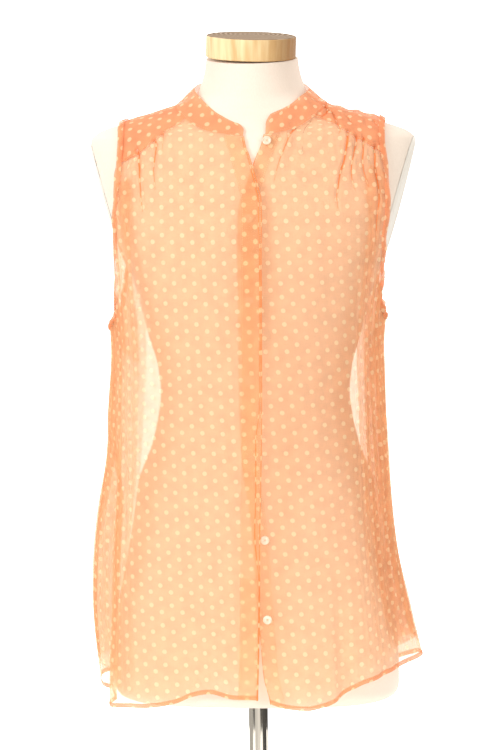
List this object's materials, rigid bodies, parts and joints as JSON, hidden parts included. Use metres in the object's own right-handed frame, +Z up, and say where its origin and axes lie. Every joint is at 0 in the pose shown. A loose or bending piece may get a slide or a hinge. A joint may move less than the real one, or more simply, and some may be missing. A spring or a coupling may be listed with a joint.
{
  "type": "sleeveless shirt on dress form",
  "caption": "Sleeveless sheer dotted shirt with a band collar, gathered yoke and fly placket, worn by a limbless dress form on a round-based stand.",
  "frame": {"origin": "centre of the stand base's underside, on the floor", "axes": "+Z up along the pole, -Y the front of the shirt, +X the wearer's left"},
  "size_m": [0.4035, 0.4, 1.0613],
  "materials": {
    "chiffon": "sheer crepe weave with woven dots",
    "chiffon_double": "two layers of the sheer weave",
    "form_jersey": "fine matte knit",
    "arm_plate": "matte",
    "cap_wood": "satin lacquer",
    "pole_steel": "polished tube",
    "base_paint": "satin",
    "button_plastic": "semi-gloss"
  },
  "bodies": {
    "root": {"stand_base": "base_paint", "stand_pole": "pole_steel", "form_torso": "form_jersey", "arm_plate_right": "arm_plate", "arm_plate_left": "arm_plate", "neck_cap": "cap_wood", "front_right": "chiffon", "front_left": "chiffon", "back": "chiffon", "yoke": "chiffon_double", "collar_band": "chiffon_double", "placket_fly": "chiffon_double", "button_stand": "chiffon_double", "armhole_binding_right": "chiffon_double", "armhole_binding_left": "chiffon_double", "button_1": "button_plastic", "button_2": "button_plastic", "button_3": "button_plastic", "button_4": "button_plastic", "button_5": "button_plastic", "button_6": "button_plastic", "button_7": "button_plastic"}
  },
  "joints": []
}
